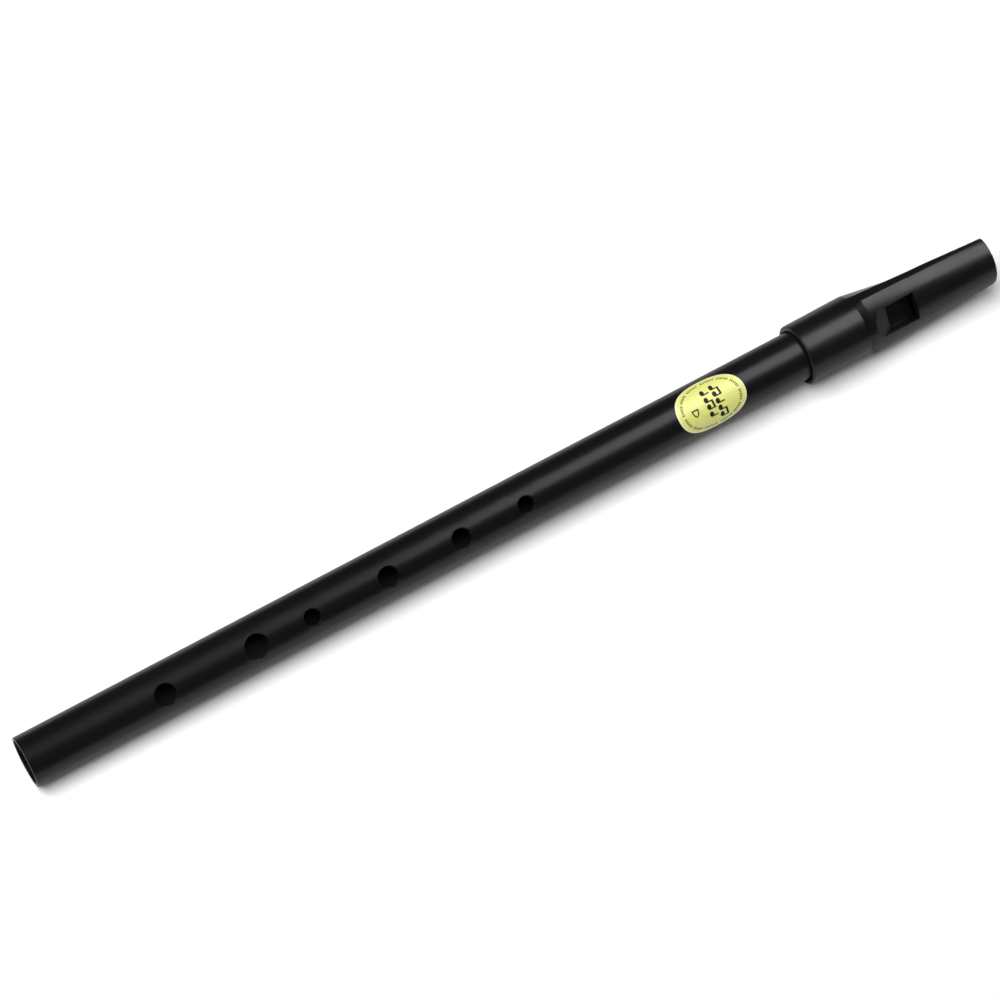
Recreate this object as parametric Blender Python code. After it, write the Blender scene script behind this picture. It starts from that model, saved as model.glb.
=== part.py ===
"""Tin whistle in high D, with a moulded head that slides on its tube for tuning.

The tube lies along +X, from its open foot to the beak, and lengths are measured from the foot.
The whistle lies on a table, as a whistle with a keeled head comes to rest: rolled about its
own axis, so the finger holes look up and to the -Y side. Each piece is drawn with its foot at
the origin and its holes or its window facing +Z. Two empties turn the tube's pieces and the
head's pieces into place and move the middle of the whistle's length to the origin.
"""

import math

import bmesh
import bpy
from mathutils import Vector

# How the whistle lies on the table, and how far its head is turned on the tube
LYING_ROLL = math.radians(38.5)
HEAD_TURN = math.radians(14.9)

# Tube
TUBE_RADIUS = 0.00725
TUBE_WALL = 0.0009
TUBE_LENGTH = 0.2560
TUBE_END_CHAMFER = 0.00015
# Finger holes, from the foot: distance of the centre, diameter
FINGER_HOLES = (
    (0.0394, 0.0061),
    (0.0665, 0.0068),
    (0.0831, 0.0047),
    (0.1063, 0.0059),
    (0.1288, 0.0056),
    (0.1489, 0.0047),
)

# Label: an oval film wrapped on the tube
LABEL_CENTRE_X = 0.2086
LABEL_HALF_LENGTH = 0.01075
LABEL_HALF_ARC = 0.0079
LABEL_TURN = math.radians(-7.9)
LABEL_FULLNESS = 2.2
LABEL_GAP = 0.00008
LABEL_THICKNESS = 0.00012

# Head: socket collar, shoulder, body and beak
HEAD_START = 0.2395
HEAD_END = 0.3024
SHOULDER_START = 0.2584
SHOULDER_STEP = 0.2590
SHOULDER_END = 0.2608
SHOULDER_GROOVE = 0.00035
COLLAR_RADIUS_MOUTH = 0.0089
COLLAR_RADIUS_SHOULDER = 0.0091
RIM_ROUNDING = 0.0006
TIP_ROUNDING = 0.0004
BARREL_RADIUS_PLUG = 0.0065
FLANK_END = math.radians(115.0)
# The body's crown and its two edges on each side, as half width and height above the axis
CROWN_HEIGHT = 0.0077
CROWN_EDGE_SHOULDER = (0.0083, 0.0048)
CROWN_EDGE_TIP = (0.0071, 0.0037)
SIDE_EDGE_SHOULDER = (0.0093, 0.0019)
SIDE_EDGE_TIP = (0.0072, 0.0028)

# Inside of the head
SOCKET_GAP = 0.0002
SOCKET_END = 0.2578
HEAD_BORE_RADIUS = 0.0056
WINDWAY_WIDTH = 0.0083
WINDWAY_FLOOR = 0.0052
WINDWAY_ROOF = 0.0061
WINDWAY_EXIT = 0.2756
THROAT_START = 0.2613
BLADE_X = 0.2667
BLADE_TOP = 0.00585
RAMP_START = 0.2620
PLUG_GAP = 0.0002

# Beak undercut
UNDERCUT_START = 0.2746
UNDERCUT_LOW = -0.0075
UNDERCUT_HIGH = 0.0026
UNDERCUT_POWER = 3.0

# Fineness of the round forms
ROUND_STEPS = 72
ARC_STEPS = 16
SIDE_STEPS = 3
FLANK_STEPS = 4
KEEL_STEPS = 13
BEYOND = 0.0020


def clear_scene():
    for item in list(bpy.data.objects):
        bpy.data.objects.remove(item)


def make_material(name, colour, roughness, metallic=0.0):
    material = bpy.data.materials.new(name)
    material.use_nodes = True
    shader = material.node_tree.nodes["Principled BSDF"]
    shader.inputs["Base Color"].default_value = (*colour, 1.0)
    shader.inputs["Roughness"].default_value = roughness
    shader.inputs["Metallic"].default_value = metallic
    return material


def add_object(name, bm, parent, material=None):
    """Turns a bmesh into a named object under its parent, smooth where it is round."""
    bmesh.ops.recalc_face_normals(bm, faces=bm.faces)
    mesh = bpy.data.meshes.new(name)
    bm.to_mesh(mesh)
    bm.free()
    mesh.shade_smooth()
    mesh.set_sharp_from_angle(angle=math.radians(28))
    item = bpy.data.objects.new(name, mesh)
    bpy.context.scene.collection.objects.link(item)
    item.parent = parent
    if material:
        mesh.materials.append(material)
    return item


def add_cutter(name, bm, parent):
    cutter = add_object(name, bm, parent)
    cutter.hide_render = True
    cutter.display_type = "WIRE"
    return cutter


def cut(item, cutter):
    modifier = item.modifiers.new(cutter.name, "BOOLEAN")
    modifier.operation = "DIFFERENCE"
    modifier.solver = "EXACT"
    modifier.object = cutter


def loft(bm, rings, closed_lengthwise=False):
    """Joins rings of points, each of the same length, with quads; open ends get flat caps."""
    made = [[bm.verts.new(point) for point in ring] for ring in rings]
    around = len(made[0])
    pairs = list(zip(made, made[1:]))
    if closed_lengthwise:
        pairs.append((made[-1], made[0]))
    for first, second in pairs:
        for i in range(around):
            j = (i + 1) % around
            bm.faces.new((first[i], first[j], second[j], second[i]))
    if not closed_lengthwise:
        bm.faces.new(made[0])
        bm.faces.new(made[-1])


def circle(x, radius, steps=ROUND_STEPS):
    """Points of a circle about the X axis, the first one facing +Z."""
    turns = [2 * math.pi * i / steps for i in range(steps)]
    return [Vector((x, radius * math.sin(a), radius * math.cos(a))) for a in turns]


def prism(bm, outline, x_start, x_end):
    """Extrudes an outline of (y, z) points along X."""
    ends = [[Vector((x, y, z)) for y, z in outline] for x in (x_start, x_end)]
    loft(bm, ends)


def side_prism(bm, outline, half_width):
    """Extrudes a side outline of (x, z) points across Y."""
    sides = [[Vector((x, y, z)) for x, z in outline] for y in (-half_width, half_width)]
    loft(bm, sides)


def make_tube(parent, material):
    """The sounding tube: a drawn tube with chamfered ends and six finger holes."""
    bore = TUBE_RADIUS - TUBE_WALL
    chamfer = TUBE_END_CHAMFER
    profile = (
        (0.0, bore),
        (0.0, TUBE_RADIUS - chamfer),
        (chamfer, TUBE_RADIUS),
        (TUBE_LENGTH - chamfer, TUBE_RADIUS),
        (TUBE_LENGTH, TUBE_RADIUS - chamfer),
        (TUBE_LENGTH, bore),
    )
    bm = bmesh.new()
    loft(bm, [circle(x, radius) for x, radius in profile], closed_lengthwise=True)
    tube = add_object("tube", bm, parent, material)

    holes = bmesh.new()
    for centre_x, diameter in FINGER_HOLES:
        rings = []
        for height in (0.0, TUBE_RADIUS + BEYOND):
            turned = circle(height, diameter / 2, 32)
            rings.append([Vector((centre_x + p.z, p.y, p.x)) for p in turned])
        loft(holes, rings)
    cut(tube, add_cutter("finger_hole_cutter", holes, parent))
    return tube


def full_oval(wave):
    """Turns a sine or cosine into its place on an oval a little fuller than an ellipse."""
    return math.copysign(abs(wave) ** (2 / LABEL_FULLNESS), wave)


def make_label(parent, material):
    """A full oval film that follows the tube's outside."""
    around = 40
    rings = 8
    bm = bmesh.new()

    def film_point(share, turn, radius):
        along, across = (full_oval(wave) for wave in (math.cos(turn), math.sin(turn)))
        x = LABEL_CENTRE_X + LABEL_HALF_LENGTH * share * along
        arc = LABEL_HALF_ARC * share * across
        angle = LABEL_TURN + arc / radius
        return Vector((x, -radius * math.sin(angle), radius * math.cos(angle)))

    inner = TUBE_RADIUS + LABEL_GAP
    outer = inner + LABEL_THICKNESS
    sheets = []
    for radius in (outer, inner):
        centre = bm.verts.new(film_point(0.0, 0.0, radius))
        sheet = []
        for ring in range(1, rings + 1):
            turns = [2 * math.pi * i / around for i in range(around)]
            points = [film_point(ring / rings, turn, radius) for turn in turns]
            sheet.append([bm.verts.new(point) for point in points])
        for i in range(around):
            j = (i + 1) % around
            bm.faces.new((centre, sheet[0][i], sheet[0][j]))
            for near, far in zip(sheet, sheet[1:]):
                bm.faces.new((near[i], far[i], far[j], near[j]))
        sheets.append(sheet)
    top_rim, bottom_rim = sheets[0][-1], sheets[1][-1]
    for i in range(around):
        j = (i + 1) % around
        bm.faces.new((top_rim[i], bottom_rim[i], bottom_rim[j], top_rim[j]))
    return add_object("label", bm, parent, material)


def mix(low, high, share):
    return low + (high - low) * share


def share_between(value, low, high):
    """How far a value lies from low to high: 0 before low, 1 after high."""
    return min(max((value - low) / (high - low), 0.0), 1.0)


def smooth_share(value, low, high):
    share = share_between(value, low, high)
    return share * share * (3 - 2 * share)


def body_share(x):
    return share_between(x, SHOULDER_END, HEAD_END)


def edge_place(shoulder, tip, x):
    """Angle and distance from the axis, at x, of an edge given at the shoulder and the tip."""
    half_width = mix(shoulder[0], tip[0], body_share(x))
    height = mix(shoulder[1], tip[1], body_share(x))
    return math.atan2(half_width, height), math.hypot(half_width, height)


def crown_edge(x):
    return edge_place(CROWN_EDGE_SHOULDER, CROWN_EDGE_TIP, x)


def side_edge(x):
    return edge_place(SIDE_EDGE_SHOULDER, SIDE_EDGE_TIP, x)


def collar_radius(x):
    share = share_between(x, HEAD_START, SHOULDER_START)
    return mix(COLLAR_RADIUS_MOUTH, COLLAR_RADIUS_SHOULDER, share)


def barrel_radius(x):
    """The keel narrows as a cone from the collar to the windway, then keeps its radius."""
    share = share_between(x, SHOULDER_START, WINDWAY_EXIT)
    return mix(COLLAR_RADIUS_SHOULDER, BARREL_RADIUS_PLUG, share)


def crown_radius(x, angle):
    """Distance from the axis to the crown, an arc through both crown edges."""
    edge_angle, edge_radius = crown_edge(x)
    half_width = edge_radius * math.sin(edge_angle)
    sagitta = CROWN_HEIGHT - edge_radius * math.cos(edge_angle)
    arc = (half_width**2 + sagitta**2) / (2 * sagitta)
    drop = arc - CROWN_HEIGHT
    return -drop * math.cos(angle) + math.sqrt(arc**2 - (drop * math.sin(angle)) ** 2)


def flat_radius(first, second, angle):
    """Distance from the axis to the flat between two places given as angle and distance."""
    (start, near), (end, far) = first, second
    across = near * math.sin(angle - start) + far * math.sin(end - angle)
    return near * far * math.sin(end - start) / across


def body_radius(x, angle):
    """The body's outline: the crown, a flat side, a flat flank, then the round keel."""
    crown, side, keel = crown_edge(x), side_edge(x), (FLANK_END, barrel_radius(x))
    if angle <= crown[0]:
        return crown_radius(x, angle)
    if angle <= side[0]:
        return flat_radius(crown, side, angle)
    if angle <= keel[0]:
        return flat_radius(side, keel, angle)
    return keel[1]


def groove_depth(x, angle):
    """The groove at the foot of the shoulder's step, which fades out at the sides."""
    fade = 1.0 - smooth_share(angle, math.radians(60), math.radians(85))
    fall = share_between(x, SHOULDER_START, SHOULDER_STEP)
    rise = share_between(x, SHOULDER_STEP, SHOULDER_END)
    return SHOULDER_GROOVE * min(fall, 1.0 - rise) * fade


def outside_radius(x, angle):
    """The collar steps down steeply to a smaller body and swells slowly to a larger one."""
    collar, body = collar_radius(x), body_radius(x, angle)
    end = SHOULDER_STEP if body < collar else SHOULDER_END
    radius = mix(collar, body, share_between(x, SHOULDER_START, end))
    return radius - groove_depth(x, angle)


def half_section_angles(x):
    """Angles from the crown's top round to the keel, with one on each edge."""
    stops = (0.0, crown_edge(x)[0], side_edge(x)[0], FLANK_END, math.pi)
    steps = (ARC_STEPS, SIDE_STEPS, FLANK_STEPS, KEEL_STEPS)
    angles = [0.0]
    for start, end, count in zip(stops, stops[1:], steps):
        angles += [mix(start, end, i / count) for i in range(1, count + 1)]
    return angles


def head_section(x, inset):
    """The head's outline at x, drawn in by inset for a rounded end."""
    half = []
    for angle in half_section_angles(x):
        half.append((angle, outside_radius(x, angle) - inset))
    whole = half + [(-angle, radius) for angle, radius in reversed(half[1:-1])]
    return [Vector((x, r * math.sin(a), r * math.cos(a))) for a, r in whole]


def rounded_stations(x_end, rounding, inward):
    """Stations and insets of a rounded end; inward is +1 at the mouth and -1 at the tip."""
    stations = []
    for step in range(4):
        turn = math.radians(30 * step)
        x = x_end + inward * rounding * (1 - math.sin(turn))
        stations.append((x, rounding * (1 - math.cos(turn))))
    return stations


def head_stations():
    mouth = rounded_stations(HEAD_START, RIM_ROUNDING, 1)[::-1]
    tip = rounded_stations(HEAD_END, TIP_ROUNDING, -1)
    shoulder = [mix(SHOULDER_START, SHOULDER_END, i / 8) for i in range(9)]
    body = [mix(SHOULDER_END, HEAD_END - TIP_ROUNDING, i / 14) for i in range(1, 14)]
    collar = [mix(HEAD_START, SHOULDER_START, share) for share in (0.35, 0.7)]
    return mouth + [(x, 0.0) for x in collar + shoulder + body] + tip


def keyed_outline(radius, half_width, top):
    """A round outline with a flat-topped key as wide as the windway."""
    start = math.asin(half_width / radius)
    steps = 48
    turns = [mix(start, 2 * math.pi - start, i / steps) for i in range(steps + 1)]
    points = [(radius * math.sin(a), radius * math.cos(a)) for a in turns]
    return points + [(-half_width, top), (half_width, top)]


def undercut_outline():
    """Side outline of the air below the beak, a hollow curve that flattens to the tip."""
    length = HEAD_END + BEYOND - UNDERCUT_START
    steps = 16
    curve = []
    for i in range(steps + 1):
        share = i / steps
        fall = (1 - min(share * length / (HEAD_END - UNDERCUT_START), 1.0)) ** UNDERCUT_POWER
        height = mix(UNDERCUT_HIGH, UNDERCUT_LOW, fall)
        curve.append((UNDERCUT_START + share * length, height))
    floor = -COLLAR_RADIUS_SHOULDER - BEYOND
    return curve + [(HEAD_END + BEYOND, floor), (UNDERCUT_START, floor)]


def make_undercut(parent, name):
    bm = bmesh.new()
    side_prism(bm, undercut_outline(), COLLAR_RADIUS_SHOULDER + BEYOND)
    return add_cutter(name, bm, parent)


def make_mouthpiece(parent, material):
    """The moulded head: socket, bore, window with its ramp and blade, windway roof and beak."""
    bm = bmesh.new()
    loft(bm, [head_section(x, inset) for x, inset in head_stations()])
    head = add_object("mouthpiece", bm, parent, material)
    half_windway = WINDWAY_WIDTH / 2

    socket = bmesh.new()
    socket_radius = TUBE_RADIUS + SOCKET_GAP
    loft(socket, [circle(x, socket_radius) for x in (HEAD_START - BEYOND, SOCKET_END)])
    cut(head, add_cutter("socket_cutter", socket, parent))

    bore = bmesh.new()
    loft(bore, [circle(x, HEAD_BORE_RADIUS) for x in (SOCKET_END - BEYOND, THROAT_START)])
    cut(head, add_cutter("head_bore_cutter", bore, parent))

    throat = bmesh.new()
    throat_outline = keyed_outline(HEAD_BORE_RADIUS, half_windway, HEAD_BORE_RADIUS)
    prism(throat, throat_outline, THROAT_START - SOCKET_GAP, WINDWAY_EXIT)
    cut(head, add_cutter("throat_cutter", throat, parent))

    pocket = bmesh.new()
    pocket_outline = keyed_outline(HEAD_BORE_RADIUS, half_windway, WINDWAY_ROOF)
    prism(pocket, pocket_outline, WINDWAY_EXIT - SOCKET_GAP, HEAD_END + BEYOND)
    cut(head, add_cutter("plug_pocket_cutter", pocket, parent))

    rise = (CROWN_HEIGHT - BLADE_TOP) / (BLADE_X - RAMP_START)
    far_x = RAMP_START - BEYOND
    window_outline = (
        (far_x, CROWN_HEIGHT + rise * BEYOND),
        (BLADE_X, BLADE_TOP),
        (BLADE_X, WINDWAY_FLOOR - BEYOND),
        (WINDWAY_EXIT, WINDWAY_FLOOR - BEYOND),
        (WINDWAY_EXIT, CROWN_HEIGHT + BEYOND),
        (far_x, CROWN_HEIGHT + BEYOND),
    )
    window = bmesh.new()
    side_prism(window, window_outline, half_windway)
    cut(head, add_cutter("window_cutter", window, parent))

    cut(head, make_undercut(parent, "beak_undercut_cutter"))
    return head


def make_plug(parent, material):
    """The block that closes the head's bore and whose flat top is the windway's floor."""
    outline = keyed_outline(
        HEAD_BORE_RADIUS - PLUG_GAP, WINDWAY_WIDTH / 2 - PLUG_GAP, WINDWAY_FLOOR
    )
    bm = bmesh.new()
    prism(bm, outline, WINDWAY_EXIT, HEAD_END - PLUG_GAP)
    plug = add_object("fipple_plug", bm, parent, material)
    cut(plug, make_undercut(parent, "plug_undercut_cutter"))
    return plug


def add_place(name, roll):
    """An empty that turns its pieces by roll and puts the origin in the whistle's middle."""
    empty = bpy.data.objects.new(name, None)
    bpy.context.scene.collection.objects.link(empty)
    empty.location.x = -HEAD_END / 2
    empty.rotation_euler.x = roll
    return empty


def main():
    clear_scene()
    tube_place = add_place("tube_place", LYING_ROLL)
    head_place = add_place("head_place", LYING_ROLL + HEAD_TURN)
    tube_black = make_material("tube_black", (0.012, 0.012, 0.013), 0.38)
    head_black = make_material("head_black", (0.014, 0.014, 0.015), 0.42)
    plug_black = make_material("plug_black", (0.016, 0.016, 0.017), 0.5)
    label_film = make_material("label_film", (0.72, 0.78, 0.20), 0.3)
    make_tube(tube_place, tube_black)
    make_label(tube_place, label_film)
    make_mouthpiece(head_place, head_black)
    make_plug(head_place, plug_black)


main()
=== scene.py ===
"""Looks of the tin whistle: fine surfaces, materials, a white sweep, soft light and a camera.

Metres throughout. The tube lies along +X and +Z is up from the table. Pieces are drawn with
the tube's foot at the origin and their holes or window facing +Z. Each is then turned about the
tube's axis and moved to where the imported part's foot is.
"""

import math

import bmesh
import bpy
from mathutils import Matrix, Vector


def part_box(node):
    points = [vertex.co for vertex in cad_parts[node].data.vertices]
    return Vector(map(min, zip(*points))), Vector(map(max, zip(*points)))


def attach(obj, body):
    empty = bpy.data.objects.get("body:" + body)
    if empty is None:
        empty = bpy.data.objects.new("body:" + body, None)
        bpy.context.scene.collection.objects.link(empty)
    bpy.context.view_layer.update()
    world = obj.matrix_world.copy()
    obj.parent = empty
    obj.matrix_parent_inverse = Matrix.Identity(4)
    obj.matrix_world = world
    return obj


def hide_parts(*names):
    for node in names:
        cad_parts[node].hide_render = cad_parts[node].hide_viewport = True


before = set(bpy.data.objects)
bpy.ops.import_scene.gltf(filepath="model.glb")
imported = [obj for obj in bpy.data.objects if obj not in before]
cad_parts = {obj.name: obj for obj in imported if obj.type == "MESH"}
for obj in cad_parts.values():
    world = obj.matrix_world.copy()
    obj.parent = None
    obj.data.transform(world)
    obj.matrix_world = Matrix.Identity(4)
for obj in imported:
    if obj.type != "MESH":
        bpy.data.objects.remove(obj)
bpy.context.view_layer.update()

TUBE_BODY = "whistle_tube"
HEAD_BODY = "whistle_head"
MM = 0.001
# How far the whistle lies rolled over, and its head, which is turned a little more
LYING_ROLL = math.radians(38.5)
HEAD_ROLL = LYING_ROLL + math.radians(14.9)

# Tube: lengths are measured from its foot
TUBE_LOW, TUBE_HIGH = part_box("tube")
FOOT = Vector((TUBE_LOW.x, 0.0, 0.0))
TUBE_END = TUBE_HIGH.x - FOOT.x
TUBE_RADIUS = 7.25 * MM
TUBE_WALL = 0.9 * MM
TUBE_BORE = TUBE_RADIUS - TUBE_WALL
TUBE_END_ROUNDING = 0.18 * MM
HOLE_ROUNDING = 0.25 * MM
# Past the foot the bore turns lighter over this stretch, for barer metal and for a painted glow
# standing in for light bounced inside the bore
BARE_AND_BOUNCE_START = 12.0 * MM
BARE_AND_BOUNCE_FULL = 28.0 * MM
# Finger holes from the foot up: the place of each centre and its radius
HOLES = (
    (39.4 * MM, 3.05 * MM),
    (66.5 * MM, 3.40 * MM),
    (83.1 * MM, 2.35 * MM),
    (106.3 * MM, 2.95 * MM),
    (128.8 * MM, 2.80 * MM),
    (148.9 * MM, 2.35 * MM),
)
# The tube's mesh, with a patch at each hole: half its length and its columns to each side
AROUND = 144
COLUMNS = range(-AROUND // 2, AROUND // 2)
COLUMN_STEP = 2 * math.pi / AROUND
FIRST_ROW = 0.45 * MM
ROW_SPACING = 4.0 * MM
PATCH_HALF = 4.2 * MM
PATCH_ROWS = 12
PATCH_COLUMNS = 18

# Label: a full oval whose middle is turned a little from the line of the holes
LABEL_LOW, LABEL_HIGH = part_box("label")
LABEL_X = (LABEL_LOW.x + LABEL_HIGH.x) / 2 - FOOT.x
LABEL_HALF_LENGTH = (LABEL_HIGH.x - LABEL_LOW.x) / 2
LABEL_HALF_ARC = 7.9 * MM
LABEL_TURN = math.radians(-7.9)
LABEL_FULLNESS = 2.2
LABEL_UNDER = TUBE_RADIUS + 0.03 * MM
LABEL_TOP = TUBE_RADIUS + 0.13 * MM
# Where the painted sheen round the label's edge starts and is full, as shares of the way out
EDGE_SHEEN_START = 0.945
EDGE_SHEEN_FULL = 0.965
INK_UNDER = LABEL_TOP - 0.005 * MM
INK_TOP = LABEL_TOP + 0.012 * MM
INK_STROKE = 0.38 * MM
INK_CELL = (0.5 * MM, 0.3 * MM)
NOTE_HEAD_LENGTH = 1.25 * MM
NOTE_HEAD_WIDTH = 1.60 * MM
NOTE_BEAM = 0.60 * MM

# Head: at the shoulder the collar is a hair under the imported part's 9.1 mm, so that this
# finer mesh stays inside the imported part's box
HEAD_LOW, HEAD_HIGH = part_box("mouthpiece")
HEAD_START = HEAD_LOW.x - FOOT.x
HEAD_END = HEAD_HIGH.x - FOOT.x
SHOULDER_START = HEAD_START + 18.9 * MM
SHOULDER_STEP = HEAD_START + 19.5 * MM
SHOULDER_END = HEAD_START + 21.3 * MM
SHOULDER_GROOVE = 0.35 * MM
COLLAR_MOUTH = 8.9 * MM
COLLAR_SHOULDER = 9.095 * MM
MOUTH_ROUNDING = 0.6 * MM
TIP_ROUNDING = 0.4 * MM
BARREL_AT_PLUG = 6.5 * MM
FLANK_END = math.radians(115.0)
# The body's crown and the two edges on each of its sides, as half width and height
CROWN = 7.7 * MM
CROWN_EDGE_SHOULDER = (8.3 * MM, 4.8 * MM)
CROWN_EDGE_TIP = (7.1 * MM, 3.7 * MM)
SIDE_EDGE_SHOULDER = (9.3 * MM, 1.9 * MM)
SIDE_EDGE_TIP = (7.2 * MM, 2.8 * MM)
# The mesh's columns on a half section: to the window's edge, the crown's, the side's, round
# the flank, down to the keel, and under it
SECTION_COLUMNS = (8, 14, 5, 8, 18)
KEEL_COLUMNS = 10
# The keel's columns take this turn, in radians. Where the beak is undercut, the flank's columns
# end at this share of the way down
KEEL_HALF_TURN = 0.05
FLANK_SHARE = 0.6
# Inside of the head, and the beak's hollow underside
SOCKET_RADIUS = TUBE_RADIUS + 0.2 * MM
SOCKET_FLARE = 0.25 * MM
SOCKET_END = HEAD_START + 18.3 * MM
HEAD_BORE = 5.6 * MM
HALF_WINDWAY = 4.15 * MM
WINDWAY_FLOOR = 5.2 * MM
WINDWAY_ROOF = 6.1 * MM
WINDWAY_EXIT = HEAD_START + 36.1 * MM
THROAT_START = HEAD_START + 21.8 * MM
BLADE_X = HEAD_START + 27.2 * MM
BLADE_TOP = 5.85 * MM
RAMP_START = HEAD_START + 22.5 * MM
UNDERCUT_START = HEAD_START + 35.1 * MM
UNDERCUT_LOW = -7.5 * MM
UNDERCUT_HIGH = 2.6 * MM
UNDERCUT_POWER = 3.0
PLUG_GAP = 0.06 * MM
PLUG_SET_BACK = 0.2 * MM
# Cutters reach this far past what they cut, and edges sharper than these degrees stay crisp
CUT_BEYOND = 2.0 * MM
CUT_EDGE_ANGLE = 28.0

# Camera, placed and aimed from the foot
CAMERA_PLACE = Vector((-0.0775, -0.3650, 0.7455))
CAMERA_AIM = Vector((0.1449, 0.0026, 0.0013))
CAMERA_LENS = 114.7
CAMERA_ROLL = math.radians(-0.11)

# Floor: an oval round the whistle shows the lamps' light and shadows, with a faint lift that
# only the camera sees. Beyond it the floor is white to the camera and dim to all else
LIT_HALF_LENGTH = 340.0 * MM
LIT_HALF_WIDTH = 180.0 * MM
LIT_FADE_START = 0.7
FLOOR_MIDDLE = 150.0 * MM
FLOOR_SIZE = 6.0
FLOOR_GAP = 0.05 * MM
FLOOR_LIFT = 0.08
FAR_FLOOR = 0.20
WORLD_DIM = 0.03

# Colours, most of them as the two ends of a mottle
TUBE_BLACK = ((0.0038, 0.0038, 0.0040), (0.0056, 0.0056, 0.0059))
# Lighter bore colour: barer metal with painted bounce light in it
BARE_AND_BOUNCE_BORE = (0.030, 0.030, 0.030)
MOULDED_BLACK = ((0.0044, 0.0044, 0.0046), (0.0064, 0.0064, 0.0067))
LABEL_YELLOW = ((0.69, 0.71, 0.15), (0.81, 0.81, 0.28))
# Pale colour of the painted sheen along the label's edge
LABEL_EDGE_SHEEN = (0.84, 0.86, 0.48)
INK_BLACK = ((0.006, 0.006, 0.005), (0.022, 0.022, 0.016))
FLOOR_WHITE = (0.9, 0.9, 0.9)
MIRRORED_FLOOR = (0.62, 0.62, 0.62)
WHITE = (1.0, 1.0, 1.0, 1.0)


def mix(low, high, share):
    return low + (high - low) * share


def share_between(value, low, high):
    return min(max((value - low) / (high - low), 0.0), 1.0)


def smooth_share(value, low, high):
    share = share_between(value, low, high)
    return share * share * (3 - 2 * share)


# ---------------------------------------------------------------- shader nodes


class Nodes:
    """A short way to write a material's node tree."""

    def __init__(self, name):
        self.material = bpy.data.materials.new(name)
        self.material.use_nodes = True
        self.tree = self.material.node_tree
        self.shader = self.tree.nodes["Principled BSDF"]

    def add(self, kind, **settings):
        node = self.tree.nodes.new(kind)
        for key, value in settings.items():
            if key in node.inputs:
                node.inputs[key].default_value = value
            else:
                setattr(node, key, value)
        return node

    def link(self, out, into):
        self.tree.links.new(out, into)

    def noise(self, stretch, scale, detail):
        """Noise in the piece's own coordinates, stretched along its axes."""
        place = self.add("ShaderNodeTexCoord")
        mapping = self.add("ShaderNodeMapping")
        mapping.inputs["Scale"].default_value = stretch
        self.link(place.outputs["Object"], mapping.inputs["Vector"])
        noise = self.add("ShaderNodeTexNoise", Scale=scale, Detail=detail)
        self.link(mapping.outputs["Vector"], noise.inputs["Vector"])
        return noise.outputs["Fac"]

    def ranged(self, value, low, high, to_low, to_high):
        node = self.add("ShaderNodeMapRange")
        node.inputs["From Min"].default_value = low
        node.inputs["From Max"].default_value = high
        node.inputs["To Min"].default_value = to_low
        node.inputs["To Max"].default_value = to_high
        self.link(value, node.inputs["Value"])
        return node.outputs["Result"]

    def combine(self, first, second, operation):
        node = self.add("ShaderNodeMath", operation=operation)
        self.link(first, node.inputs[0])
        self.link(second, node.inputs[1])
        return node.outputs[0]

    def multiply(self, first, second):
        return self.combine(first, second, "MULTIPLY")

    def sum(self, first, second):
        return self.combine(first, second, "ADD")

    def reach_and_length(self):
        """Distance from the tube's axis, and place along it."""
        place = self.add("ShaderNodeTexCoord")
        parts = self.add("ShaderNodeSeparateXYZ")
        self.link(place.outputs["Object"], parts.inputs[0])
        across = self.add("ShaderNodeCombineXYZ")
        self.link(parts.outputs["Y"], across.inputs["Y"])
        self.link(parts.outputs["Z"], across.inputs["Z"])
        reach = self.add("ShaderNodeVectorMath", operation="LENGTH")
        self.link(across.outputs[0], reach.inputs[0])
        return reach.outputs["Value"], parts.outputs["X"]

    def blend(self, share, first, second):
        node = self.add("ShaderNodeMix", data_type="RGBA")
        self.link(share, node.inputs[0])
        for slot, colour in ((6, first), (7, second)):
            if isinstance(colour, tuple):
                node.inputs[slot].default_value = (*colour, 1.0)
            else:
                self.link(colour, node.inputs[slot])
        return node.outputs[2]

    def bump(self, height, distance, strength, edge_radius=0.0):
        """Surface relief, with optional softening of the sharp edges of a cut."""
        bump = self.add("ShaderNodeBump", Strength=strength, Distance=distance)
        self.link(height, bump.inputs["Height"])
        if edge_radius:
            soften = self.add("ShaderNodeBevel", samples=6, Radius=edge_radius)
            self.link(soften.outputs["Normal"], bump.inputs["Normal"])
        self.link(bump.outputs["Normal"], self.shader.inputs["Normal"])


def tube_material():
    """Black anodised drawn tube: faint drawing lines, fine grain, and a bore painted lighter past
    its foot, for barer metal and for painted bounce light.
    """
    nodes = Nodes("anodised_black")
    lines = nodes.noise((0.02, 1.0, 1.0), 9000.0, 2.0)
    grain = nodes.noise((1.0, 1.0, 1.0), 7000.0, 2.0)
    clouds = nodes.noise((0.25, 1.0, 1.0), 90.0, 4.0)
    colour = nodes.blend(clouds, *TUBE_BLACK)
    reach, along = nodes.reach_and_length()
    # Painted bounce light, partly barer metal: the bore turns lighter past the foot
    in_bore = nodes.ranged(reach, TUBE_BORE + 0.05 * MM, TUBE_BORE + 0.15 * MM, 1.0, 0.0)
    past_foot = nodes.ranged(along, FOOT.x + BARE_AND_BOUNCE_START, FOOT.x + BARE_AND_BOUNCE_FULL, 0.0, 1.0)
    colour = nodes.blend(nodes.multiply(in_bore, past_foot), colour, BARE_AND_BOUNCE_BORE)
    nodes.link(colour, nodes.shader.inputs["Base Color"])
    rough = nodes.ranged(nodes.sum(clouds, lines), 0.4, 1.6, 0.24, 0.36)
    nodes.link(rough, nodes.shader.inputs["Roughness"])
    nodes.shader.inputs["Specular IOR Level"].default_value = 0.36
    nodes.bump(nodes.sum(lines, grain), 0.004 * MM, 0.35)
    return nodes.material


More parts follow.
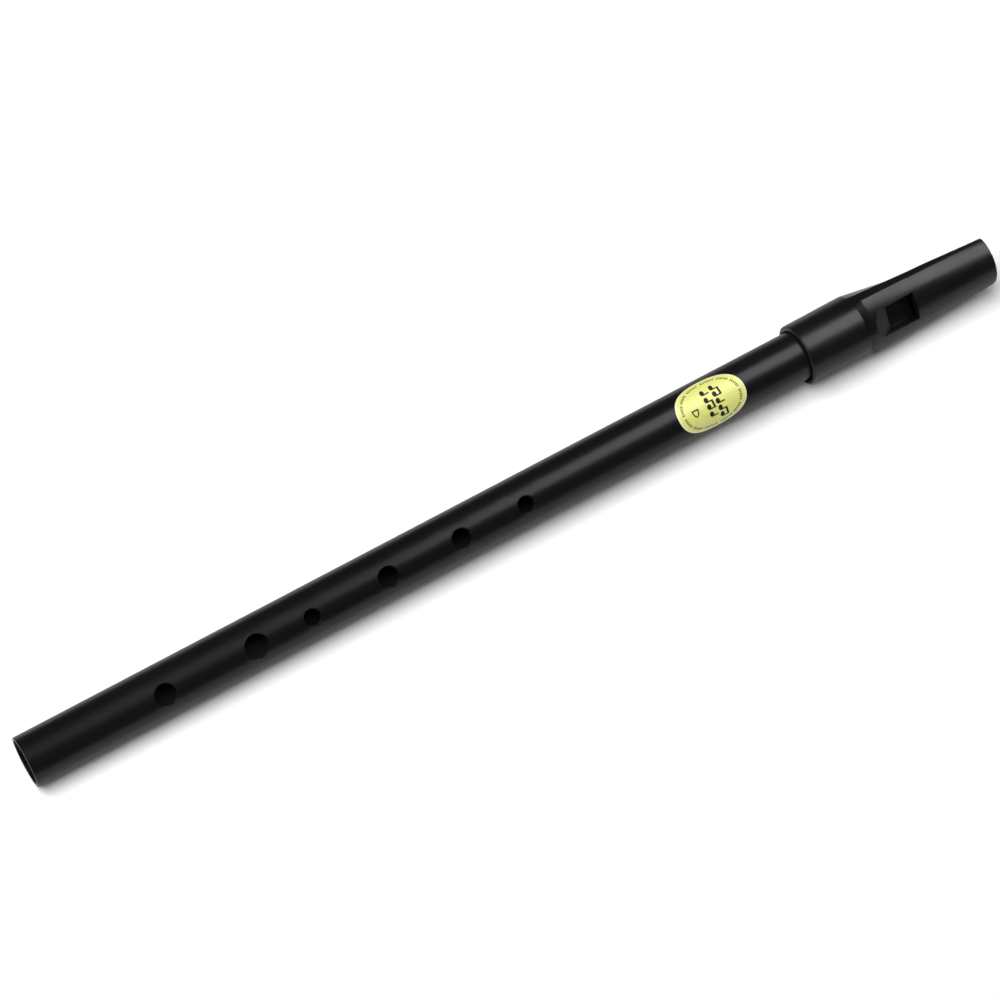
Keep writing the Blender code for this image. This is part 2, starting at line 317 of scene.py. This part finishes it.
def moulded_material(name, edge_radius):
    """Black moulded plastic: a fine spark-eroded grain and slow changes of sheen."""
    nodes = Nodes(name)
    grain = nodes.noise((1.0, 1.0, 1.0), 4200.0, 3.0)
    clouds = nodes.noise((0.6, 1.0, 1.0), 120.0, 3.0)
    colour = nodes.blend(clouds, *MOULDED_BLACK)
    nodes.link(colour, nodes.shader.inputs["Base Color"])
    rough = nodes.ranged(clouds, 0.1, 0.9, 0.23, 0.39)
    nodes.link(rough, nodes.shader.inputs["Roughness"])
    nodes.shader.inputs["Specular IOR Level"].default_value = 0.42
    nodes.bump(grain, 0.006 * MM, 0.4, edge_radius)
    return nodes.material


def label_material():
    """Printed film: a yellow-green field, a pale line round its edge that is a painted sheen, and
    a clear glossy coat.
    """
    nodes = Nodes("label_film")
    share = nodes.add("ShaderNodeAttribute", attribute_name="share").outputs["Fac"]
    mottle = nodes.noise((1.0, 1.0, 1.0), 500.0, 4.0)
    field = nodes.blend(mottle, *LABEL_YELLOW)
    # Painted sheen: a pale line round the label's edge
    border = nodes.ranged(share, EDGE_SHEEN_START, EDGE_SHEEN_FULL, 0.0, 1.0)
    colour = nodes.blend(border, field, LABEL_EDGE_SHEEN)
    nodes.link(colour, nodes.shader.inputs["Base Color"])
    nodes.shader.inputs["Roughness"].default_value = 0.42
    nodes.shader.inputs["Coat Weight"].default_value = 0.8
    nodes.shader.inputs["Coat Roughness"].default_value = 0.34
    nodes.bump(mottle, 0.01 * MM, 0.25)
    return nodes.material


def ink_material():
    """Black print with small pale specks of wear."""
    nodes = Nodes("print_ink")
    wear = nodes.noise((1.0, 1.0, 1.0), 2600.0, 3.0)
    colour = nodes.blend(wear, *INK_BLACK)
    nodes.link(colour, nodes.shader.inputs["Base Color"])
    nodes.shader.inputs["Roughness"].default_value = 0.45
    nodes.shader.inputs["Specular IOR Level"].default_value = 0.2
    nodes.bump(wear, 0.004 * MM, 0.2)
    return nodes.material


# ---------------------------------------------------------------- mesh helpers


def shade(mesh, sharp_angle):
    """Smooth shading, apart from edges that turn by more than an angle in degrees."""
    mesh.shade_smooth()
    mesh.set_sharp_from_angle(angle=math.radians(sharp_angle))


def make_piece(name, bm, material, turn, sharp_angle=35.0):
    """Makes a mesh object in place: turned about the tube's axis, with its foot at FOOT."""
    bmesh.ops.recalc_face_normals(bm, faces=bm.faces)
    place = Matrix.Translation(FOOT) @ Matrix.Rotation(turn, 4, "X")
    bmesh.ops.transform(bm, matrix=place, verts=bm.verts)
    mesh = bpy.data.meshes.new(name)
    bm.to_mesh(mesh)
    bm.free()
    shade(mesh, sharp_angle)
    mesh.materials.append(material)
    piece = bpy.data.objects.new(name, mesh)
    bpy.context.scene.collection.objects.link(piece)
    return piece


def join_rings(bm, first, second):
    """Quads between two closed rings of the same length."""
    around = len(first)
    for i in range(around):
        j = (i + 1) % around
        bm.faces.new((first[i], first[j], second[j], second[i]))


def close_ring(bm, centre, ring):
    """Triangles from a middle point to a closed ring."""
    for i, vertex in enumerate(ring):
        bm.faces.new((centre, vertex, ring[(i + 1) % len(ring)]))


def rounding(radius, turns):
    """Steps round an edge, at turns in degrees: the way back from the face and the way in."""
    steps = []
    for turn in turns:
        angle = math.radians(turn)
        steps.append((radius * (1 - math.sin(angle)), radius * (1 - math.cos(angle))))
    return steps


def on_tube(x, angle, radius):
    """Place at an angle about the tube's axis, from +Z towards -Y, and a distance from it."""
    return Vector((x, -radius * math.sin(angle), radius * math.cos(angle)))


def ring_at(bm, x, radius):
    return [bm.verts.new(on_tube(x, j * COLUMN_STEP, radius)) for j in COLUMNS]


# ---------------------------------------------------------------- tube


def tube_rows():
    """Stations along the tube, and for each hole the first row of its patch."""
    rows = [FIRST_ROW]
    patches = []
    for centre, _ in HOLES:
        start = centre - PATCH_HALF
        gap = start - rows[-1]
        plain = max(1, round(gap / ROW_SPACING))
        rows += [rows[-1] + gap * i / plain for i in range(1, plain)]
        patches.append(len(rows))
        rows += [start + 2 * PATCH_HALF * i / PATCH_ROWS for i in range(PATCH_ROWS + 1)]
    gap = TUBE_END - FIRST_ROW - rows[-1]
    plain = round(gap / ROW_SPACING)
    rows += [rows[-1] + gap * i / plain for i in range(1, plain + 1)]
    return rows, patches


def patch_border(first_row):
    """Grid places round a hole's patch, in order, as (row, column)."""
    last_row = first_row + PATCH_ROWS
    side = PATCH_COLUMNS
    places = [(first_row, j) for j in range(-side, side)]
    places += [(i, side) for i in range(first_row, last_row)]
    places += [(last_row, j) for j in range(side, -side, -1)]
    places += [(i, -side) for i in range(last_row, first_row, -1)]
    return places


def fill_patch(bm, border, flat, centre, hole_radius, radius):
    """Closes in from a patch's border to a hole's edge; gives the edge's turns and its ring."""
    turns = [math.atan2(arc, x - centre) for x, arc in flat]
    outer = border
    for share in (0.6, 0.3, 0.1, 0.03, 0.0):
        ring = []
        for (x, arc), turn in zip(flat, turns):
            hole_x = centre + hole_radius * math.cos(turn)
            hole_arc = radius * math.asin(hole_radius * math.sin(turn) / radius)
            angle = mix(hole_arc, arc, share) / radius
            ring.append(bm.verts.new(on_tube(mix(hole_x, x, share), angle, radius)))
        join_rings(bm, outer, ring)
        outer = ring
    return turns, outer


def tube_sheet(bm, radius, hole_growth):
    """One surface of the tube: its first ring, its last ring and the edge of each hole."""
    rows, patches = tube_rows()
    inside = set()
    for first_row in patches:
        for i in range(first_row + 1, first_row + PATCH_ROWS):
            inside |= {(i, j) for j in range(1 - PATCH_COLUMNS, PATCH_COLUMNS)}
    grid = {}
    for i, x in enumerate(rows):
        for j in COLUMNS:
            if (i, j) not in inside:
                grid[i, j] = bm.verts.new(on_tube(x, j * COLUMN_STEP, radius))

    def covered(i, j):
        in_rows = any(first <= i < first + PATCH_ROWS for first in patches)
        return in_rows and -PATCH_COLUMNS <= j < PATCH_COLUMNS

    for i in range(len(rows) - 1):
        for j in COLUMNS:
            if not covered(i, j):
                k = j + 1 if j + 1 in COLUMNS else COLUMNS[0]
                bm.faces.new((grid[i, j], grid[i, k], grid[i + 1, k], grid[i + 1, j]))

    edges = []
    for (centre, hole_radius), first_row in zip(HOLES, patches):
        places = patch_border(first_row)
        border = [grid[place] for place in places]
        flat = [(rows[i], j * COLUMN_STEP * radius) for i, j in places]
        edges.append(fill_patch(bm, border, flat, centre, hole_radius + hole_growth, radius))
    first_ring = [grid[0, j] for j in COLUMNS]
    last_ring = [grid[len(rows) - 1, j] for j in COLUMNS]
    return first_ring, last_ring, edges


def tube_end_rings(bm, x_face, inward):
    """Rings that round the tube's end, from its outside to its bore."""
    corner = rounding(TUBE_END_ROUNDING, (0, 30, 60, 90))
    profile = [(x_face + inward * back, TUBE_RADIUS - drop) for back, drop in corner]
    profile += [(x_face + inward * back, TUBE_BORE + drop) for back, drop in reversed(corner)]
    return [ring_at(bm, x, radius) for x, radius in profile]


def hole_edge_rings(bm, centre, hole_radius, turns):
    """Rings that roll from a hole's outer edge down into its straight wall."""
    rings = []
    for growth, drop in rounding(HOLE_ROUNDING, (30, 60, 90)):
        ring = []
        for turn in turns:
            x = centre + (hole_radius + growth) * math.cos(turn)
            y = -(hole_radius + growth) * math.sin(turn)
            z = math.sqrt(TUBE_RADIUS**2 - y**2) - drop
            ring.append(bm.verts.new((x, y, z)))
        rings.append(ring)
    return rings


def join_in_turn(bm, rings):
    for first, second in zip(rings, rings[1:]):
        join_rings(bm, first, second)


def make_tube():
    bm = bmesh.new()
    outer_first, outer_last, outer_edges = tube_sheet(bm, TUBE_RADIUS, HOLE_ROUNDING)
    inner_first, inner_last, inner_edges = tube_sheet(bm, TUBE_BORE, 0.0)
    ends = ((outer_first, inner_first, 0.0, 1), (outer_last, inner_last, TUBE_END, -1))
    for outer, inner, x_face, inward in ends:
        join_in_turn(bm, [outer, *tube_end_rings(bm, x_face, inward), inner])
    for (centre, radius), (turns, outer), (_, inner) in zip(HOLES, outer_edges, inner_edges):
        join_in_turn(bm, [outer, *hole_edge_rings(bm, centre, radius, turns), inner])
    return make_piece("tube_surface", bm, tube_material(), LYING_ROLL)


# ---------------------------------------------------------------- label


def full_oval(wave):
    return math.copysign(abs(wave) ** (2 / LABEL_FULLNESS), wave)


def film_place(share, turn):
    """Place on the label's full oval, as distances along the tube and round it."""
    along, across = (full_oval(wave) for wave in (math.cos(turn), math.sin(turn)))
    return LABEL_HALF_LENGTH * share * along, LABEL_HALF_ARC * share * across


def on_label(along, arc, radius):
    return on_tube(LABEL_X + along, LABEL_TURN + arc / LABEL_TOP, radius)


def make_label():
    """The film, as rings from the middle of its top over its edge to the middle underneath."""
    bm = bmesh.new()
    layer = bm.verts.layers.float.new("share")
    flat_rings = 14
    shares = [i / flat_rings for i in range(1, flat_rings)] + [EDGE_SHEEN_FULL, 0.985]

    def ring(share, radius):
        made = []
        for i in range(AROUND):
            place = film_place(share, 2 * math.pi * i / AROUND)
            vertex = bm.verts.new(on_label(*place, radius))
            vertex[layer] = share
            made.append(vertex)
        return made

    profile = [(share, LABEL_TOP) for share in shares]
    profile += [(0.994, LABEL_TOP - 0.012 * MM), (0.999, LABEL_TOP - 0.04 * MM)]
    profile += [(share, LABEL_UNDER) for share in [1.0] + shares[::-1]]
    rings = [ring(share, radius) for share, radius in profile]
    close_ring(bm, bm.verts.new(on_label(0.0, 0.0, LABEL_TOP)), rings[0])
    join_in_turn(bm, rings)
    close_ring(bm, bm.verts.new(on_label(0.0, 0.0, LABEL_UNDER)), rings[-1])
    return make_piece("label_film", bm, label_material(), LYING_ROLL, 60.0)


def add_slab(bm, place, across, along):
    """A thin closed slab of ink; place turns two shares from 0 to 1 into a place on the label."""
    sheets = []
    for radius in (INK_TOP, INK_UNDER):
        sheet = []
        for i in range(across + 1):
            row = [on_label(*place(i / across, j / along), radius) for j in range(along + 1)]
            sheet.append([bm.verts.new(point) for point in row])
        for i in range(across):
            for j in range(along):
                corners = (sheet[i][j], sheet[i + 1][j], sheet[i + 1][j + 1], sheet[i][j + 1])
                bm.faces.new(corners)
        sheets.append(sheet)
    borders = []
    for sheet in sheets:
        border = sheet[0][:-1] + [row[-1] for row in sheet[:-1]]
        border += sheet[-1][:0:-1] + [row[0] for row in sheet[:0:-1]]
        borders.append(border)
    join_rings(bm, *borders)


def add_bar(bm, along, arc, length, width, slant=0.0):
    """A bar of ink: length runs along the tube, width round it."""

    def place(u, v):
        return along + (u - 0.5) * length + (v - 0.5) * slant, arc + (v - 0.5) * width

    cells = [max(2, round(size / cell)) for size, cell in zip((length, width), INK_CELL)]
    add_slab(bm, place, *cells)


def add_note_head(bm, along, arc):
    """A leaning oval of ink, drawn as a square sheet rounded into a disc."""

    def place(u, v):
        a, b = 2 * u - 1, 2 * v - 1
        round_a = a * math.sqrt(1 - b * b / 2)
        round_b = b * math.sqrt(1 - a * a / 2)
        out = NOTE_HEAD_LENGTH / 2 * (round_a - 0.25 * round_b)
        return along + out, arc + NOTE_HEAD_WIDTH / 2 * (round_b + 0.2 * round_a)

    add_slab(bm, place, 8, 8)


def add_note(bm, along, arc, length):
    """A plain note: a head with a stem on its far side, reading with the head end up."""
    add_note_head(bm, along - length / 2 + NOTE_HEAD_LENGTH / 2, arc)
    stem_arc = arc + NOTE_HEAD_WIDTH / 2 - INK_STROKE / 2
    stem = length - NOTE_HEAD_LENGTH / 2
    add_bar(bm, along + NOTE_HEAD_LENGTH / 4, stem_arc, stem, INK_STROKE)
    return stem_arc


def add_pair(bm, along, arc, spread, length):
    """Two notes joined by a slanting beam."""
    first = add_note(bm, along, arc, length)
    second = add_note(bm, along, arc + spread, length)
    top = along + length / 2 - NOTE_BEAM / 2
    width = second - first + INK_STROKE
    add_bar(bm, top, (first + second) / 2, NOTE_BEAM, width, 0.12 * MM)


def add_key_letter(bm, along, arc, height, width):
    """A plain letter D, the whistle's key, reading with the head end up."""
    left = arc - width / 2
    add_bar(bm, along, left + INK_STROKE / 2, height, INK_STROKE)

    def bowl(u, v):
        turn = math.pi * (u - 0.5)
        reach = mix(width - INK_STROKE, width, v)
        half = mix(height / 2 - INK_STROKE, height / 2, v)
        return along + half * math.sin(turn), left + reach * math.cos(turn)

    add_slab(bm, bowl, 20, 2)


def add_small_stroke(bm, share, turn, tall, wide):
    """A short upright stroke on the label's oval: a length tall and a turn wide."""

    def place(u, v):
        return film_place(share + (u - 0.5) * tall / LABEL_HALF_LENGTH, turn + (v - 0.5) * wide)

    add_slab(bm, place, 2, 2)


def add_stroke_ring(bm, share, strokes):
    """A ring of short strokes that follows the label's oval, in groups of six."""
    heights = (0.78 * MM, 0.62 * MM, 0.74 * MM)
    pitch = 2 * math.pi / strokes
    for i in range(strokes):
        if i % 7 < 6:
            add_small_stroke(bm, share, (i + 0.5) * pitch, heights[i % 3], 0.52 * pitch)


def make_print():
    """Generic print: a ring of fine strokes, two rows of notes and the key letter."""
    bm = bmesh.new()
    add_stroke_ring(bm, 0.83, 84)
    high_row, low_row, spread = 2.55 * MM, -0.55 * MM, 2.05 * MM
    high_length, low_length = 2.6 * MM, 2.5 * MM
    add_pair(bm, high_row, -3.9 * MM, spread, high_length)
    add_note(bm, high_row, 0.25 * MM, high_length)
    add_pair(bm, high_row, 2.3 * MM, spread, high_length)
    add_note(bm, low_row, -3.6 * MM, low_length)
    add_pair(bm, low_row, -1.3 * MM, spread, low_length)
    add_note(bm, low_row, 2.9 * MM, low_length)
    add_key_letter(bm, -5.4 * MM, 0.7 * MM, 2.1 * MM, 2.2 * MM)
    return make_piece("label_print", bm, ink_material(), LYING_ROLL)


# ---------------------------------------------------------------- head


def body_share(x):
    return share_between(x, SHOULDER_END, HEAD_END)


def edge_place(shoulder, tip, x):
    """Angle and distance from the axis, at x, of an edge given at the shoulder and the tip."""
    half_width = mix(shoulder[0], tip[0], body_share(x))
    height = mix(shoulder[1], tip[1], body_share(x))
    return math.atan2(half_width, height), math.hypot(half_width, height)


def crown_edge(x):
    return edge_place(CROWN_EDGE_SHOULDER, CROWN_EDGE_TIP, x)


def side_edge(x):
    return edge_place(SIDE_EDGE_SHOULDER, SIDE_EDGE_TIP, x)


def collar_radius(x):
    return mix(COLLAR_MOUTH, COLLAR_SHOULDER, share_between(x, HEAD_START, SHOULDER_START))


def barrel_radius(x):
    """Radius of the round keel, which narrows from the shoulder to the plug."""
    return mix(COLLAR_SHOULDER, BARREL_AT_PLUG, share_between(x, SHOULDER_START, WINDWAY_EXIT))


def crown_radius(x, angle):
    """Distance from the axis to the crown, an arc through both crown edges."""
    edge_angle, edge_radius = crown_edge(x)
    half_width = edge_radius * math.sin(edge_angle)
    sagitta = CROWN - edge_radius * math.cos(edge_angle)
    arc = (half_width**2 + sagitta**2) / (2 * sagitta)
    drop = arc - CROWN
    return -drop * math.cos(angle) + math.sqrt(arc**2 - (drop * math.sin(angle)) ** 2)


def flat_radius(first, second, angle):
    """Distance from the axis to the flat between two places given as angle and distance."""
    (start, near), (end, far) = first, second
    across = near * math.sin(angle - start) + far * math.sin(end - angle)
    return near * far * math.sin(end - start) / across


def body_radius(x, angle):
    """The body's outline: the crown, a flat side, a flat flank, then the round keel."""
    crown, side, keel = crown_edge(x), side_edge(x), (FLANK_END, barrel_radius(x))
    if angle <= crown[0]:
        return crown_radius(x, angle)
    if angle <= side[0]:
        return flat_radius(crown, side, angle)
    if angle <= keel[0]:
        return flat_radius(side, keel, angle)
    return keel[1]


def groove_depth(x, angle):
    """The groove at the foot of the shoulder's step, which fades out at the sides."""
    fade = 1.0 - smooth_share(angle, math.radians(60), math.radians(85))
    fall = share_between(x, SHOULDER_START, SHOULDER_STEP)
    rise = share_between(x, SHOULDER_STEP, SHOULDER_END)
    return SHOULDER_GROOVE * min(fall, 1.0 - rise) * fade


def section_radius(x, angle):
    """Distance from the axis to the head's outside, before the beak is undercut."""
    collar, body = collar_radius(x), body_radius(x, angle)
    end = SHOULDER_STEP if body < collar else SHOULDER_END
    radius = mix(collar, body, share_between(x, SHOULDER_START, end))
    return radius - groove_depth(x, angle)


def undercut_height(x):
    """Height of the beak's hollow underside, which flattens out towards the tip."""
    share = share_between(x, UNDERCUT_START, HEAD_END)
    return mix(UNDERCUT_HIGH, UNDERCUT_LOW, (1 - share) ** UNDERCUT_POWER)


def find_angle(wanted, measure, low, high):
    """Angle at which a falling measure passes a wanted value, by halving."""
    for _ in range(40):
        middle = (low + high) / 2
        if measure(middle) > wanted:
            low = middle
        else:
            high = middle
    return low


def head_section(x, inset):
    """Ring round the head whose columns follow the window, the edges and the undercut."""
    crown, side = crown_edge(x)[0], side_edge(x)[0]
    window = find_angle(
        -HALF_WINDWAY, lambda a: -section_radius(x, a) * math.sin(a), 0.0, crown
    )
    last = math.pi - KEEL_HALF_TURN
    cut_height = undercut_height(x)
    is_cut = x > UNDERCUT_START and cut_height > -section_radius(x, last)
    if is_cut:
        last = find_angle(
            cut_height, lambda a: section_radius(x, a) * math.cos(a), side, last
        )
    flank = min(FLANK_END, mix(side, last, FLANK_SHARE))
    stops = (0.0, window, crown, side, flank, last)
    angles = [0.0]
    for start, end, columns in zip(stops, stops[1:], SECTION_COLUMNS):
        angles += [mix(start, end, i / columns) for i in range(1, columns + 1)]

    def outline_place(angle):
        radius = section_radius(x, angle) - inset
        return radius * math.sin(angle), radius * math.cos(angle)

    half = [outline_place(angle) for angle in angles]
    end_y, end_z = half[-1]
    for i in range(1, KEEL_COLUMNS + 1):
        if is_cut:
            half.append((end_y * (1 - i / KEEL_COLUMNS), end_z + inset))
        else:
            half.append(outline_place(mix(last, math.pi, i / KEEL_COLUMNS)))
    whole = half + [(-y, z) for y, z in reversed(half[1:-1])]
    return [Vector((x, y, z)) for y, z in whole]


def head_stations():
    """Stations along the head with the inset of its rounded ends."""
    mouth = rounding(MOUTH_ROUNDING, (90, 70, 50, 30, 15, 0))
    tip = rounding(TIP_ROUNDING, (20, 40, 60, 80, 90))
    spans = (
        (HEAD_START + MOUTH_ROUNDING, SHOULDER_START, 10),
        (SHOULDER_START, SHOULDER_STEP, 4),
        (SHOULDER_STEP, SHOULDER_END, 9),
        (SHOULDER_END, WINDWAY_EXIT, 26),
        (WINDWAY_EXIT, HEAD_END - TIP_ROUNDING, 40),
    )
    stations = [(HEAD_START + back, inset) for back, inset in mouth]
    for start, end, steps in spans:
        stations += [(mix(start, end, i / steps), 0.0) for i in range(1, steps + 1)]
    return stations + [(HEAD_END - back, inset) for back, inset in tip]


def closed_loft(rings):
    """A closed shape through rings of points, with flat ends."""
    bm = bmesh.new()
    made = [[bm.verts.new(point) for point in ring] for ring in rings]
    join_in_turn(bm, made)
    bm.faces.new(made[0])
    bm.faces.new(made[-1])
    return bm


def keyed_outline(radius, half_width, top):
    """A round outline with a square-sided channel along its top, open up to a height."""
    start = math.asin(half_width / radius)
    steps = 96
    turns = [mix(start, 2 * math.pi - start, i / steps) for i in range(steps + 1)]
    points = [(radius * math.sin(a), radius * math.cos(a)) for a in turns]
    return points + [(-half_width, top), (half_width, top)]


def prism(outline, x_start, x_end):
    """A closed shape whose cross-section is an outline of (y, z) places."""
    return closed_loft([[Vector((x, y, z)) for y, z in outline] for x in (x_start, x_end)])


def side_prism(outline, half_width):
    """A closed shape whose side view is an outline of (x, z) places."""
    sides = (-half_width, half_width)
    return closed_loft([[Vector((x, y, z)) for x, z in outline] for y in sides])


def turned(profile):
    """A closed round shape through (x, radius) places."""
    steps = 120
    turns = [2 * math.pi * i / steps for i in range(steps)]
    return closed_loft([[on_tube(x, a, radius) for a in turns] for x, radius in profile])


def cut_away(piece, bm):
    """Takes a closed shape out of a piece of the head and leaves no modifier behind."""
    tool = make_piece("tool", bm, piece.data.materials[0], HEAD_ROLL)
    modifier = piece.modifiers.new("cut", "BOOLEAN")
    modifier.operation = "DIFFERENCE"
    modifier.solver = "EXACT"
    modifier.object = tool
    settled = piece.evaluated_get(bpy.context.evaluated_depsgraph_get())
    mesh = bpy.data.meshes.new_from_object(settled)
    piece.modifiers.clear()
    shade(mesh, CUT_EDGE_ANGLE)
    piece.data = mesh
    bpy.data.objects.remove(tool)


def undercut_tool():
    steps = 48
    beyond_tip = HEAD_END + CUT_BEYOND
    floor = -COLLAR_SHOULDER - CUT_BEYOND
    places = [mix(UNDERCUT_START, beyond_tip, i / steps) for i in range(steps + 1)]
    curve = [(x, undercut_height(x)) for x in places]
    outline = curve + [(beyond_tip, floor), (UNDERCUT_START, floor)]
    return side_prism(outline, COLLAR_SHOULDER + CUT_BEYOND)


def window_tool():
    """Cuts the window down into the bore, with the ramp that rises from its blade."""
    rise = (CROWN - BLADE_TOP) / (BLADE_X - RAMP_START)
    far_x = RAMP_START - CUT_BEYOND
    outline = (
        (far_x, CROWN + rise * CUT_BEYOND),
        (BLADE_X, BLADE_TOP),
        (BLADE_X, WINDWAY_FLOOR - CUT_BEYOND),
        (WINDWAY_EXIT, WINDWAY_FLOOR - CUT_BEYOND),
        (WINDWAY_EXIT, CROWN + CUT_BEYOND),
        (far_x, CROWN + CUT_BEYOND),
    )
    return side_prism(outline, HALF_WINDWAY)


def make_head():
    """The moulded head: its outside, then the socket, bore, throat, windway and window."""
    bm = closed_loft([head_section(x, inset) for x, inset in head_stations()])
    head = make_piece("head_moulding", bm, moulded_material("moulded_black", 0.14 * MM), HEAD_ROLL)
    socket = (
        (HEAD_START - CUT_BEYOND, SOCKET_RADIUS + SOCKET_FLARE),
        (HEAD_START, SOCKET_RADIUS + SOCKET_FLARE),
        (HEAD_START + 0.3 * MM, SOCKET_RADIUS),
        (SOCKET_END, SOCKET_RADIUS),
    )
    bore = ((SOCKET_END - CUT_BEYOND, HEAD_BORE), (THROAT_START + 0.2 * MM, HEAD_BORE))
    throat = keyed_outline(HEAD_BORE, HALF_WINDWAY, HEAD_BORE)
    pocket = keyed_outline(HEAD_BORE, HALF_WINDWAY, WINDWAY_ROOF)
    tools = (
        turned(socket),
        turned(bore),
        prism(throat, THROAT_START, WINDWAY_EXIT),
        prism(pocket, WINDWAY_EXIT - 0.1 * MM, HEAD_END + CUT_BEYOND),
        window_tool(),
    )
    for tool in tools:
        cut_away(head, tool)
    weighted = head.modifiers.new("even_normals", "WEIGHTED_NORMAL")
    weighted.keep_sharp = True
    return head


def make_plug():
    outline = keyed_outline(HEAD_BORE - PLUG_GAP, HALF_WINDWAY - PLUG_GAP, WINDWAY_FLOOR)
    bm = prism(outline, WINDWAY_EXIT, HEAD_END - PLUG_SET_BACK)
    plug = make_piece("plug_block", bm, moulded_material("plug_black", 0.12 * MM), HEAD_ROLL)
    cut_away(plug, undercut_tool())
    return plug


# ---------------------------------------------------------------- stage, light, camera


def floor_material():
    """White floor, lit near the whistle and plain white further away."""
    nodes = Nodes("white_sweep")
    nodes.tree.nodes.remove(nodes.shader)
    output = nodes.tree.nodes["Material Output"]
    path = nodes.add("ShaderNodeLightPath")
    seen = path.outputs["Is Camera Ray"]

    surface = nodes.add("ShaderNodeBsdfDiffuse")
    colour = nodes.blend(path.outputs["Is Glossy Ray"], FLOOR_WHITE, MIRRORED_FLOOR)
    nodes.link(colour, surface.inputs["Color"])
    lift = nodes.add("ShaderNodeEmission", Color=WHITE)
    nodes.link(nodes.ranged(seen, 0.0, 1.0, 0.0, FLOOR_LIFT), lift.inputs["Strength"])
    near = nodes.add("ShaderNodeAddShader")
    nodes.link(surface.outputs[0], near.inputs[0])
    nodes.link(lift.outputs[0], near.inputs[1])

    far = nodes.add("ShaderNodeEmission", Color=WHITE)
    nodes.link(nodes.ranged(seen, 0.0, 1.0, FAR_FLOOR, 1.0), far.inputs["Strength"])

    place = nodes.add("ShaderNodeTexCoord")
    oval = nodes.add("ShaderNodeMapping")
    oval.inputs["Scale"].default_value = (1 / LIT_HALF_LENGTH, 1 / LIT_HALF_WIDTH, 1.0)
    nodes.link(place.outputs["Object"], oval.inputs["Vector"])
    length = nodes.add("ShaderNodeVectorMath", operation="LENGTH")
    nodes.link(oval.outputs["Vector"], length.inputs[0])
    share = nodes.ranged(length.outputs["Value"], LIT_FADE_START, 1.0, 0.0, 1.0)
    mixer = nodes.add("ShaderNodeMixShader")
    nodes.link(share, mixer.inputs[0])
    nodes.link(near.outputs[0], mixer.inputs[1])
    nodes.link(far.outputs[0], mixer.inputs[2])
    nodes.link(mixer.outputs[0], output.inputs["Surface"])
    return nodes.material


def make_floor():
    """A flat floor just under the tube's foot and the head's collar, on which the whistle lies."""
    bpy.ops.mesh.primitive_grid_add(x_subdivisions=8, y_subdivisions=8, size=FLOOR_SIZE)
    floor = bpy.context.object
    floor.name = "floor_sweep"
    floor.rotation_euler.y = math.atan2(TUBE_LOW.z - HEAD_LOW.z, SHOULDER_START)
    rest = mix(TUBE_LOW.z, HEAD_LOW.z, FLOOR_MIDDLE / SHOULDER_START)
    floor.location = FOOT + Vector((FLOOR_MIDDLE, 0.0, rest - FLOOR_GAP))
    floor.data.materials.append(floor_material())
    return floor


def add_lamp(name, place, aim, size, energy, reflected):
    """A soft box: seen only as a reflection, or else felt only as diffuse light."""
    lamp = bpy.data.lights.new(name, "AREA")
    lamp.shape = "RECTANGLE"
    lamp.size, lamp.size_y = size
    lamp.energy = energy
    item = bpy.data.objects.new(name, lamp)
    bpy.context.scene.collection.objects.link(item)
    item.location = FOOT + Vector(place)
    item.rotation_euler = (Vector(aim) - Vector(place)).to_track_quat("-Z", "Y").to_euler()
    item.visible_glossy = reflected
    item.visible_diffuse = not reflected


def make_light():
    """Soft boxes past the beak, overhead and past the foot to be mirrored, and one for shadows."""
    middle = (0.17, 0.0, 0.0)
    add_lamp("key_softbox", (0.70, -0.03, 0.80), middle, (0.70, 0.66), 5.6, True)
    add_lamp("ceiling_glow", (0.15, 0.02, 0.80), middle, (0.60, 0.60), 0.25, True)
    add_lamp("foot_softbox", (-0.60, 0.0, 0.75), middle, (0.70, 0.60), 3.5, True)
    add_lamp("sweep_softbox", (-0.35, 0.08, 1.50), middle, (1.40, 1.40), 39.0, False)


def make_world():
    """White to the camera and dim to everything else."""
    world = bpy.data.worlds.new("studio")
    world.use_nodes = True
    bpy.context.scene.world = world
    tree = world.node_tree
    back = tree.nodes["Background"]
    back.inputs["Color"].default_value = WHITE
    path = tree.nodes.new("ShaderNodeLightPath")
    strength = tree.nodes.new("ShaderNodeMapRange")
    strength.inputs["To Min"].default_value = WORLD_DIM
    strength.inputs["To Max"].default_value = 1.0
    tree.links.new(path.outputs["Is Camera Ray"], strength.inputs["Value"])
    tree.links.new(strength.outputs["Result"], back.inputs["Strength"])


def make_camera():
    lens = bpy.data.cameras.new("camera")
    lens.lens = CAMERA_LENS
    lens.sensor_width = 36.0
    lens.clip_start = 0.01
    camera = bpy.data.objects.new("camera", lens)
    bpy.context.scene.collection.objects.link(camera)
    look = (CAMERA_AIM - CAMERA_PLACE).to_track_quat("-Z", "Y").to_matrix().to_4x4()
    place = Matrix.Translation(CAMERA_PLACE + FOOT)
    camera.matrix_world = place @ look @ Matrix.Rotation(CAMERA_ROLL, 4, "Z")
    bpy.context.scene.camera = camera


def main():
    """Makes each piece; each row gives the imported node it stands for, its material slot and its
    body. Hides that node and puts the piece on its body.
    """
    pieces = (
        (make_tube(), "tube", "tube_black", TUBE_BODY),
        (make_label(), "label", "label_film", TUBE_BODY),
        (make_print(), None, "label_film", TUBE_BODY),
        (make_head(), "mouthpiece", "head_black", HEAD_BODY),
        (make_plug(), "fipple_plug", "plug_black", HEAD_BODY),
    )
    for piece, node, slot, body in pieces:
        if node:
            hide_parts(node)
        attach(piece, body)
    make_floor()
    make_light()
    make_world()
    make_camera()
    bpy.context.scene.view_settings.view_transform = "Standard"


main()
